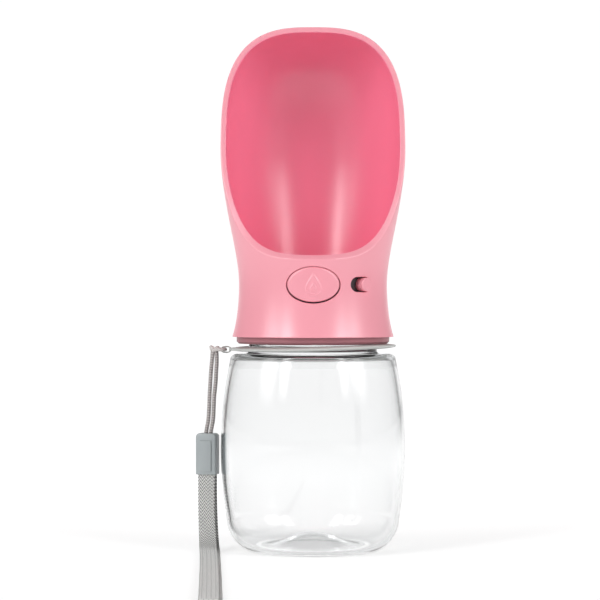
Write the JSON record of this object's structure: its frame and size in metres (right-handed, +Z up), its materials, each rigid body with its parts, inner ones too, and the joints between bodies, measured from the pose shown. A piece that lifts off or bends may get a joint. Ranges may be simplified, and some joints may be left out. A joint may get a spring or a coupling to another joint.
{
  "type": "dog travel water bottle",
  "caption": "Clear travel bottle with a screw-on drinking scoop, a press-to-pour button with a lock slide, and a wrist lanyard on a neck ring.",
  "frame": {"origin": "on the surface the bottle stands on, at the middle of its base", "axes": "+Z up along the bottle's axis, -Y towards the open side of the scoop and the button"},
  "size_m": [0.0874, 0.2395, 0.2181],
  "materials": {
    "clear_plastic": "clear polished copolyester",
    "silicone": "matt silicone",
    "pink_plastic": "satin moulded plastic",
    "deep_pink_plastic": "satin moulded plastic",
    "white_plastic": "moulded plastic",
    "dark_plastic": "moulded plastic",
    "spring_steel": "drawn wire",
    "grey_rubber": "smooth elastomer",
    "grey_cord": "fine braided cord",
    "grey_plastic": "satin moulded plastic",
    "braided_strap": "herringbone braid in white and dark grey"
  },
  "bodies": {
    "bottle": {"bottle": "clear_plastic"},
    "gasket": {"neck_gasket": "silicone"},
    "head": {"head_shell": "pink_plastic", "thread_collar": "deep_pink_plastic", "valve_plate": "pink_plastic", "port_seal": "silicone", "valve_body": "white_plastic", "valve_end_cap": "white_plastic", "outlet_spout": "silicone", "return_spring": "spring_steel", "lock_guide": "pink_plastic"},
    "button": {"water_button": "pink_plastic", "valve_spool": "dark_plastic", "spool_o_rings": "silicone"},
    "lock": {"lock_knob": "pink_plastic", "lock_plate": "dark_plastic"},
    "lanyard": {"neck_ring": "grey_rubber", "cord_left": "grey_cord", "cord_right": "grey_cord", "cord_hitch": "grey_cord", "clasp_body": "grey_plastic", "clasp_cover": "grey_plastic", "strap_front": "braided_strap", "strap_back": "braided_strap"}
  },
  "joints": [
    {"name": "head_lift", "type": "slide", "parent": "bottle", "child": "gasket", "axis": [0, 0, 1], "range_m": [0, 0.00601]},
    {"name": "head_turn", "type": "hinge", "parent": "gasket", "child": "head", "pos_m": [0, 0, 0.0975], "axis": [0, 0, 1], "range_deg": [0, 540]},
    {"name": "button_press", "type": "slide", "parent": "head", "child": "button", "axis": [0, 1, 0], "range_m": [0, 0.0046], "stiffness_N_per_m": 500, "springref_m": -0.003, "deforming": ["return_spring"]},
    {"name": "lock_slide", "type": "hinge", "parent": "head", "child": "lock", "pos_m": [0, 0, 0.1105], "axis": [0, 0, 1], "range_deg": [-7.4, 0]},
    {"name": "lanyard_turn", "type": "hinge", "parent": "bottle", "child": "lanyard", "pos_m": [0, 0, 0.0845], "axis": [0, 0, 1], "continuous": true}
  ],
  "couplings": [
    {"joint": "head_lift", "follows": "head_turn", "m_per_rad": 0.00063662}
  ]
}
